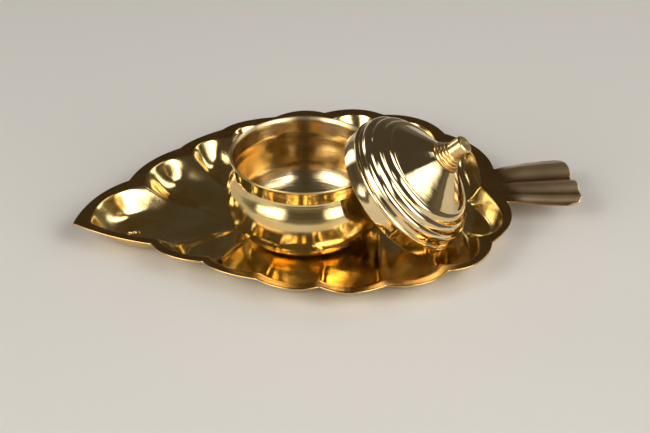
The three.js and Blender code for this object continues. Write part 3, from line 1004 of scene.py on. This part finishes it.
def make_knob():
    profile = [
        Vector((0, knob_hole_depth)),
        Vector((screw_hole_radius, knob_hole_depth)),
        Vector((screw_hole_radius, 0)),
        Vector((knob_foot_radius, 0)),
        Vector((knob_foot_radius, knob_foot_height)),
    ]
    half_ring = knob_rings_height / knob_ring_count / 2
    for ring in range(knob_ring_count):
        middle = knob_foot_height + (2 * ring + 1) * half_ring
        part = ring / (knob_ring_count - 1)
        crest = knob_low_ring_radius + (knob_high_ring_radius - knob_low_ring_radius) * part
        root = crest - knob_ring_groove
        for out, up in arc((0, 0), 1, -knob_ring_reach, knob_ring_reach, knob_ring_steps):
            profile.append(Vector((root + knob_ring_groove * out, middle + half_ring * up)))
    barrel_foot = knob_foot_height + knob_rings_height
    profile += [
        Vector((knob_barrel_radius, barrel_foot)),
        Vector((knob_barrel_radius, (barrel_foot + knob_height) / 2)),
        Vector((knob_barrel_radius, knob_height - knob_edge)),
        Vector((knob_barrel_radius - knob_edge, knob_height)),
        Vector((knob_dimple_radius, knob_height)),
        Vector((0, knob_height - knob_dimple_depth)),
    ]
    profile = soften(profile, corner_round)
    return turn_solid("turned_knob", profile, knob_steps, seat("lid_knob", leaning))


stand_for(make_knob(), "lid_knob", "lid", "knob_brass")

# %% [markdown]
# ## Screw and washer
#
# A screw comes up through the lid from inside, with a washer under its head that keeps it from
# pulling through the thin sheet. They are seen only when the lid is lifted, but a maker would look
# for them. A true thread winds in a spiral. At this size grooves round the shank look the same, and
# they can be turned with the rest. The slot is cut with a block, as a saw would cut it.

# %% Washer
washer_radius = mm(4)
washer_height = mm(0.6)


def make_washer():
    profile = [
        Vector((screw_hole_radius, 0)),
        Vector((washer_radius, 0)),
        Vector((washer_radius, washer_height)),
        Vector((screw_hole_radius, washer_height)),
        Vector((screw_hole_radius, 0)),
        Vector((washer_radius, 0)),
    ]
    ring = soften(profile, corner_round)[1:-1]
    return turn_solid("brass_washer", [*ring, ring[0]], knob_steps, seat("knob_washer", leaning))


stand_for(make_washer(), "knob_washer", "lid", "screw_brass")

# %% Screw
screw_radius = mm(1.5)
screw_head_radius = mm(3)
screw_head_height = mm(1.8)
screw_head_steps = 12
screw_length = mm(6.7)
screw_slot_width = mm(0.8)
screw_slot_depth = mm(0.8)
thread_pitch = mm(0.5)
thread_depth = mm(0.12)


def cut_slot(screw, place):
    """Cut the driver's slot across the head with a thin block"""
    half_length = 2 * screw_head_radius
    half_width = screw_slot_width / 2
    low, high = -screw_slot_depth, screw_slot_depth
    sides = [(-half_length, -half_width), (half_length, -half_width),
             (half_length, half_width), (-half_length, half_width)]
    corners = [(x, y, low) for x, y in sides] + [(x, y, high) for x, y in sides]
    walls = [(side, (side + 1) % 4, (side + 1) % 4 + 4, side + 4) for side in range(4)]
    placed = [place @ Vector(corner) for corner in corners]
    block = add_piece("slot_block", placed, [(3, 2, 1, 0), (4, 5, 6, 7), *walls])
    cutter = screw.modifiers.new("slot", "BOOLEAN")
    cutter.object = block
    cutter.operation = "DIFFERENCE"
    cutter.solver = "EXACT"
    shape = screw.evaluated_get(bpy.context.evaluated_depsgraph_get())
    screw.data = bpy.data.meshes.new_from_object(shape)
    screw.modifiers.clear()
    bpy.data.objects.remove(block)


def make_screw():
    profile = [Vector((0, 0))]
    for step in range(1, screw_head_steps + 1):
        angle = math.pi / 2 * step / screw_head_steps
        across = screw_head_radius * math.sin(angle)
        profile.append(Vector((across, screw_head_height * (1 - math.cos(angle)))))
    profile.append(Vector((screw_radius, screw_head_height)))
    turns = int(screw_length / thread_pitch)
    for turn in range(1, turns):
        height = screw_head_height + turn * thread_pitch
        profile.append(Vector((screw_radius, height - thread_pitch / 4)))
        profile.append(Vector((screw_radius - thread_depth, height + thread_pitch / 4)))
    profile.append(Vector((screw_radius, screw_head_height + screw_length)))
    profile.append(Vector((0, screw_head_height + screw_length)))
    place = seat("knob_screw", leaning)
    screw = turn_solid("slotted_screw", profile, knob_steps, place)
    cut_slot(screw, place)
    return screw


stand_for(make_screw(), "knob_screw", "lid", "screw_brass")

# %% [markdown]
# ## Leaf tray
#
# The tray is one pressed sheet. A die draws the middle down into a dish, and leaves a flat rim
# round it and a fluted stem at the end. Each lobe of the leaf is a scoop, and where two scoops meet
# a crest runs from the notch in towards the midrib, like a vein. A modeller might sculpt this, but
# the die's rules are simple enough to write down: the outline, the rim's inner line, and how each
# row of the dish falls from the rim to the midrib.
#
# The outline goes from the tip to the stem, lobe by lobe, down each side. A lobe is a curve from
# notch to notch through its crown. For each lobe the list gives where it ends along and across the
# leaf, how far it swells, and where its crown leans to, all as shares.

# %% Leaf outline
leaf_length = mm(165.6)
leaf_width = mm(134)
tip_across_share = -0.05
near_lobe_shares = [
    (0.167, -0.336, 0.050, 0.50),
    (0.273, -0.560, 0.130, 0.47),
    (0.379, -0.776, 0.090, 0.42),
    (0.511, -0.907, 0.155, 0.54),
    (0.656, -0.954, 0.180, 0.46),
    (0.801, -0.875, 0.165, 0.52),
    (0.923, -0.646, 0.187, 0.48),
    (0.998, -0.243, 0.136, 0.53),
]
far_lobe_shares = [
    (0.143, 0.358, 0.102, 0.53),
    (0.278, 0.676, 0.095, 0.50),
    (0.391, 0.854, 0.065, 0.42),
    (0.528, 0.952, 0.100, 0.42),
    (0.652, 0.951, 0.165, 0.53),
    (0.795, 0.867, 0.157, 0.52),
    (0.925, 0.575, 0.170, 0.50),
    (1.003, 0.119, 0.128, 0.50),
]


def outline_lobes(lobe_shares):
    """The lobes of one side, each with its two notches and its crown"""
    start = Vector((0, tip_across_share * leaf_width / 2))
    lobes = []
    for along, across, swell, lean in lobe_shares:
        end = Vector((along * leaf_length, across * leaf_width / 2))
        chord = end - start
        outward = Vector((-chord.y, chord.x)) * math.copysign(1, across)
        lobes.append({
            "start": start,
            "end": end,
            "crown": start + lean * chord + swell * outward,
            "outward": outward.normalized(),
        })
        start = end
    return lobes


near_corner = outline_lobes(near_lobe_shares)[-1]["end"]
far_corner = outline_lobes(far_lobe_shares)[-1]["end"]
root_middle = near_corner.lerp(far_corner, 0.5)
print("The stem's root is", round((far_corner.y - near_corner.y) * 1000, 1), "mm wide")

# %% [markdown]
# The die was finished by hand, so the two sides differ. On the near side most veins are low and the
# wall below the rim is soft. On the far side the veins are high, the wall is tight and the rim is
# wider. One shape mirrored would be shorter to write, but the eye finds a mirrored leaf at once.
#
# The rim's inner line has a lobe for each outer one, but its cusps reach further in, because the
# die's wall turns round each notch at a distance. The stem's root counts as a notch too: the last
# two scoops meet there. Each list below goes from the first notch after the tip to the root. The
# lists give the rim's width, the vein's height, how the vein is pulled into a bend, and how soft
# the wall is, from 0 for a tight one to 1.

# %% Two sides of the leaf
rim_tip_width = mm(6.5)
rim_root_width = mm(8)
near_side = {
    "lobes": near_lobe_shares,
    "rim": mm(3.2),
    "rim_at_notches": [mm(width) for width in (3.4, 3.4, 3.4, 3.4, 3.4, 4.2, 6.5)],
    "veins": [mm(height) for height in (2.2, 1.2, 0.6, 0.6, 0.6, 0.9, 2.6, 3.6)],
    "pulls": [(0.5, 0.5)] + [(0.4, 0.3)] * 7,
    "softness": [0.3, 0.8, 1, 1, 1, 0.9, 0.4, 0],
}
far_side = {
    "lobes": far_lobe_shares,
    "rim": mm(3.9),
    "rim_at_notches": [mm(6.2)] * 7,
    "veins": [mm(height) for height in (3.4, 3.4, 3, 3, 3, 3, 3.6, 3.6)],
    "pulls": [(0.5, 0.55), (0.47, 0.45)] + [(0.4, 0.3)] * 6,
    "softness": [0] * 8,
}
for name, side in (("Near", near_side), ("Far", far_side)):
    heights = [round(height * 1000, 1) for height in side["veins"]]
    print(name, "veins stand", heights, "mm high at the notches")

# %% [markdown]
# A station is one place on the way from the tip to the root. It keeps what the row of the dish that
# starts there needs: its points on the edge and on the rim's inner line, how high the vein and its
# crease stand, and where the row ends on the midrib. A cosine lifts the crest at a notch and lets
# it die away towards the crown of the lobe.

# %% Stations along a side
midrib_start_share = 0.134
vein_foot_shares = [0.42, 0.49, 0.56, 0.64, 0.73, 0.81, 0.88, 0.92]
root_start_share = 0.7
crest_power = 2
crease_height = mm(0.7)
crease_power = 26
lobe_steps = 40
root_steps = 48


def through(start, crown, end):
    """The three points of a curve that passes through its crown half way"""
    return [start, 2 * crown - (start + end) / 2, end]


def leaf_side(side):
    """Stations from the tip to the middle of the root: edge, inner line, vein and midrib foot"""
    lobes = outline_lobes(side["lobes"])
    last = len(lobes) - 1
    cusp = lobes[0]["start"] + Vector((rim_tip_width, 0))
    foot = midrib_start_share * leaf_length
    pull = Vector(side["pulls"][0])
    softness = 0
    stations = []
    for number, lobe in enumerate(lobes):
        if number < last:
            inward = -(lobe["outward"] + lobes[number + 1]["outward"]).normalized()
            next_cusp = lobe["end"] + side["rim_at_notches"][number] * inward
            reach, steps = 1, lobe_steps
        else:
            # The last curve of the inner line goes on past its lobe, to the middle of the root
            next_cusp = root_middle - Vector((rim_root_width, 0))
            reach, steps = root_start_share, lobe_steps + root_steps // 2
        next_foot = vein_foot_shares[number] * leaf_length
        next_pull = Vector(side["pulls"][number])
        next_softness = side["softness"][number]
        inner = through(cusp, lobe["crown"] - side["rim"] * lobe["outward"], next_cusp)
        outer = through(lobe["start"], lobe["crown"], lobe["end"])
        for step in range(0 if number == 0 else 1, steps + 1):
            on_lobe = min(step / lobe_steps, 1)
            on_root = max(step - lobe_steps, 0) / (root_steps / 2)
            part = on_lobe * reach + on_root * (1 - reach)
            notch = number if part > 0.5 else number - 1
            # No vein starts at the tip, so nothing rises before the first lobe's crown
            closeness = (1 + math.cos(2 * math.pi * part)) / 2 if notch >= 0 else 0
            stations.append({
                "edge": curve_point(outer, on_lobe).lerp(root_middle, on_root),
                "inner": curve_point(inner, part),
                "ridge": closeness ** crest_power,
                "crest": side["veins"][notch] * closeness ** crest_power,
                "crease": crease_height * closeness ** crease_power,
                "foot": foot + (next_foot - foot) * part,
                "pull": pull.lerp(next_pull, part),
                "softness": softness + (next_softness - softness) * part,
            })
        cusp, foot, pull, softness = next_cusp, next_foot, next_pull, next_softness
    return stations


near = leaf_side(near_side)
far = leaf_side(far_side)
print("Stations from the tip to the root:", len(near), "near and", len(far), "far")

# %% [markdown]
# Each row of the dish runs from the rim's inner line to the midrib, and bends the way a vein does.
# Its height falls in a skewed wave: a tight shoulder at the top, where the sheet bends over the
# die's edge, and a long sweep at the foot. Where the side is soft, the shoulder is rounder. Rows
# near a notch fall more slowly, which raises the crest between two scoops, and on the crest itself
# the die leaves a thin crease. Under the bowl both fade, so that it stands flat. A grid pushed up
# and down by a picture could give this too, but rows that follow the veins put the mesh's points
# where the creases are.

# %% Dish height
tray_sheet = mm(0.8)
tray_height = mm(10)
bowl_seat_radius = mm(24)
vein_fade_length = mm(14)
crease_fade_length = mm(6)
sink_power = 2
crease_sink_power = 0.5
# How far the wall runs from the rim, in a scoop and at a notch, and how its fall is skewed
wall_shapes = {
    "tight": {"run": mm(10.5), "notch_run": mm(18), "power": 0.62},
    "soft": {"run": mm(11.5), "notch_run": mm(13), "power": 0.8},
}
longest_wall_share = 0.9
vein_steps = 48
wall_steps = 22
floor_steps = 12


def vein_row(station):
    """Points in plan from the rim's inner line to the midrib, and the length up to each"""
    inner = station["inner"]
    foot = Vector((station["foot"], 0))
    along, across = station["pull"]
    pull = Vector((inner.x + along * (foot.x - inner.x), across * inner.y))
    places = curve([inner, pull, foot], vein_steps, with_last=True)
    lengths = [0]
    for a, b in zip(places, places[1:]):
        lengths.append(lengths[-1] + (b - a).length)
    return places, lengths


def place_at(places, lengths, length):
    """The place on a row that lies this length from its start"""
    for i in range(1, len(lengths)):
        if lengths[i] >= length:
            part = (length - lengths[i - 1]) / (lengths[i] - lengths[i - 1])
            return places[i - 1].lerp(places[i], part)
    return places[-1]


def dish_row(station, bowl_middle):
    """The row's points on the sheet's top, without the one on the midrib"""
    places, lengths = vein_row(station)
    tight, soft = wall_shapes["tight"], wall_shapes["soft"]
    wall = {key: tight[key] + (soft[key] - tight[key]) * station["softness"] for key in tight}
    run = wall["run"] + (wall["notch_run"] - wall["run"]) * station["ridge"]
    run = min(run, longest_wall_share * lengths[-1])
    stops = [run * step / wall_steps for step in range(wall_steps + 1)]
    stops += [run + (lengths[-1] - run) * step / floor_steps for step in range(1, floor_steps)]
    row = []
    for stop in stops:
        place = place_at(places, lengths, stop)
        from_seat = max((place - bowl_middle).length - bowl_seat_radius, 0)
        left = 1 - stop / lengths[-1]
        on_vein = min(from_seat / vein_fade_length, 1)
        on_crease = min(from_seat / crease_fade_length, 1)
        vein = station["crest"] * on_vein * left ** sink_power
        crease = station["crease"] * on_crease * left ** crease_sink_power
        fall = (1 + math.cos(math.pi * min(stop / run, 1) ** wall["power"])) / 2
        floor_level = tray_sheet + vein + crease
        row.append(Vector((*place, floor_level + (tray_height - floor_level) * fall)))
    return row


row_lengths = [vein_row(station)[1][-1] * 1000 for station in near + far]
print("Rows are", round(min(row_lengths), 1), "to", round(max(row_lengths), 1), "mm long")

# %% [markdown]
# The stem is the same sheet, drawn out past the rim and pressed into three flutes that fan out
# towards its end, wide on the far side and narrow on the near one. The corners of the end are cut
# round, and a small notch sits where the widest flute meets the next. A waved grid could be bent
# into place, but one rule that gives each point of the stem keeps its root on the rim's own points.

# %% Stem
stem_length = mm(29)
stem_end_width = mm(34)
stem_skew = mm(2.2)
stem_flute_height = mm(1.9)
stem_flute_start = 0.25
stem_flute_power = 1.2
stem_valley_shares = [-1, -0.58, 0.12, 1]
stem_corner_share = 0.25
stem_corner_power = 4
stem_notch_share = stem_valley_shares[2]
stem_notch_width_share = 0.15
stem_notch_depth = mm(1.2)


def flute_height(across):
    """How high the flute stands, from 0 in a valley to 1 on a crest, at -1 to 1 across the stem"""
    for start, end in zip(stem_valley_shares, stem_valley_shares[1:]):
        if across <= end:
            part = (across - start) / (end - start)
            return math.sin(math.pi * part) ** stem_flute_power if part > 0 else 0
    return 0


def stem_point(along, across):
    """A point of the stem, at a part of its length and from -1 to 1 across it"""
    half_root = (far_corner.y - near_corner.y) / 2
    slant = (far_corner.x - near_corner.x) / 2
    rounded = (1 - across ** stem_corner_power) ** (1 / stem_corner_power)
    corner = 1 - stem_corner_share + stem_corner_share * rounded
    from_notch = abs(across - stem_notch_share)
    notch = stem_notch_depth * max(0, 1 - from_notch / stem_notch_width_share)
    reach = along * (stem_length * corner - notch)
    spread = 1 - (1 - reach / stem_length) ** 2
    half_width = half_root + (stem_end_width / 2 - half_root) * spread
    begun = math.sin(math.pi / 2 * min(along / stem_flute_start, 1))
    rise = stem_flute_height * flute_height(across) * begun
    return Vector((
        root_middle.x + reach + (1 - along) * slant * across,
        root_middle.y + across * half_width - stem_skew * along,
        tray_height + rise,
    ))


stem_end = stem_point(1, 0.5).x - stem_point(0, 0.5).x
print("The stem is", round(stem_end * 1000, 1), "mm long at its widest flute")

# %% [markdown]
# The top of the sheet is one net of quads, so that light runs over it without a seam. The dish's
# rows stand side by side all round the midrib. The stem goes on from the rows at the root, column
# after column, and shares their points.

# %% Net of the sheet's top
rim_steps = 4
stem_steps = 30


def dish_net(bowl_middle):
    """The rim and the dish: their points, their faces, and the corners of each row"""
    points, rows = [], []
    for station in near + far[-2:0:-1]:
        edge, inner = station["edge"], station["inner"]
        rim = [edge.lerp(inner, step / rim_steps) for step in range(rim_steps)]
        row = [Vector((*place, tray_height)) for place in rim] + dish_row(station, bowl_middle)
        rows.append([len(points) + i for i in range(len(row))])
        points += row
    midrib = [len(points) + i for i in range(len(near))]
    points += [Vector((station["foot"], 0, tray_sheet)) for station in near]
    whole_rows = [row + [foot] for row, foot in zip(rows, midrib + midrib[-2:0:-1])]
    faces = []
    for row, next_row in zip(whole_rows, whole_rows[1:] + whole_rows[:1]):
        for k in range(len(row) - 1):
            corners = dict.fromkeys([row[k], next_row[k], next_row[k + 1], row[k + 1]])
            faces.append(tuple(corners))
    return points, faces, rows


def add_stem(points, faces, column):
    """Carry the net on from the root's column of corners to the end of the stem"""
    for row_step in range(1, stem_steps + 1):
        next_column = []
        for step in range(root_steps + 1):
            next_column.append(len(points))
            points.append(stem_point(row_step / stem_steps, 2 * step / root_steps - 1))
        for step in range(root_steps):
            faces.append((column[step], next_column[step], next_column[step + 1], column[step + 1]))
        column = next_column


leaf_midrib_behind_bowl = mm(7.5)
tip_to_bowl = -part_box("leaf_tray")[0].x
points, faces, rows = dish_net(Vector((tip_to_bowl, -leaf_midrib_behind_bowl)))
first = len(near) - 1 - root_steps // 2
root = [row[0] for row in rows[first:first + root_steps + 1]]
add_stem(points, faces, root)
print("The sheet's top has", len(points), "points and", len(faces), "faces")

# %% [markdown]
# The underside of the sheet is the same net moved down along the normals, and a half round band
# joins the two, because a sheared edge is always dressed before polishing. A Solidify modifier
# would leave that edge square. The band finds its own way round: it follows the edges that belong
# to one face only.

# %% Sheet with a dressed edge
edge_steps = 6


def boundary_loop(faces):
    """The corners round a net's open edge, in order"""
    edges = set()
    for face in faces:
        edges.update(zip(face, face[1:] + face[:1]))
    after = {a: b for a, b in edges if (b, a) not in edges}
    loop = [min(after)]
    while after[loop[-1]] != loop[0]:
        loop.append(after[loop[-1]])
    return loop


def net_normals(points, faces):
    """The way out of the net at each of its points"""
    normals = [Vector((0, 0, 0)) for _ in points]
    for face in faces:
        corners = [points[i] for i in face]
        normal = (corners[2] - corners[0]).cross(corners[-1] - corners[1])
        for i in face:
            normals[i] += normal
    return [normal.normalized() for normal in normals]


def sheet_piece(name, points, faces, thickness):
    """A sheet below a net of points, with its open edge rounded inside the net's outline"""
    normals = net_normals(points, faces)
    loop = boundary_loop(faces)
    outward = {}
    for place, i in enumerate(loop):
        ahead = points[loop[(place + 1) % len(loop)]] - points[loop[place - 1]]
        outward[i] = ahead.cross(normals[i]).normalized()
    points = [p - thickness / 2 * outward[i] if i in outward else p for i, p in enumerate(points)]
    count = len(points)
    vertices = points + [point - thickness * normal for point, normal in zip(points, normals)]
    all_faces = [list(face) for face in faces]
    all_faces += [[i + count for i in reversed(face)] for face in faces]
    bands = [loop]
    for step in range(1, edge_steps):
        angle = math.pi * step / edge_steps
        bands.append([len(vertices) + place for place in range(len(loop))])
        for i in loop:
            swing = math.cos(angle) * normals[i] + math.sin(angle) * outward[i]
            vertices.append(points[i] + thickness / 2 * (swing - normals[i]))
    bands.append([i + count for i in loop])
    for band, next_band in zip(bands, bands[1:]):
        for place in range(len(loop)):
            before = place - 1
            all_faces.append([band[place], band[before], next_band[before], next_band[place]])
    return add_piece(name, vertices, all_faces)


print("The sheet's edge goes through", len(boundary_loop(faces)), "points")

# %% [markdown]
# The net was laid out from the leaf's tip, with the midrib at zero. The finished tray is moved so
# that the bowl's axis stands at the frame's origin, a little in front of the midrib, as in the
# photograph.

# %% Leaf tray
tray = sheet_piece("pressed_leaf_tray", points, faces, tray_sheet)
tray.data.transform(Matrix.Translation((-tip_to_bowl, leaf_midrib_behind_bowl, 0)))
stand_for(tray, "leaf_tray", "tray", "tray_brass")
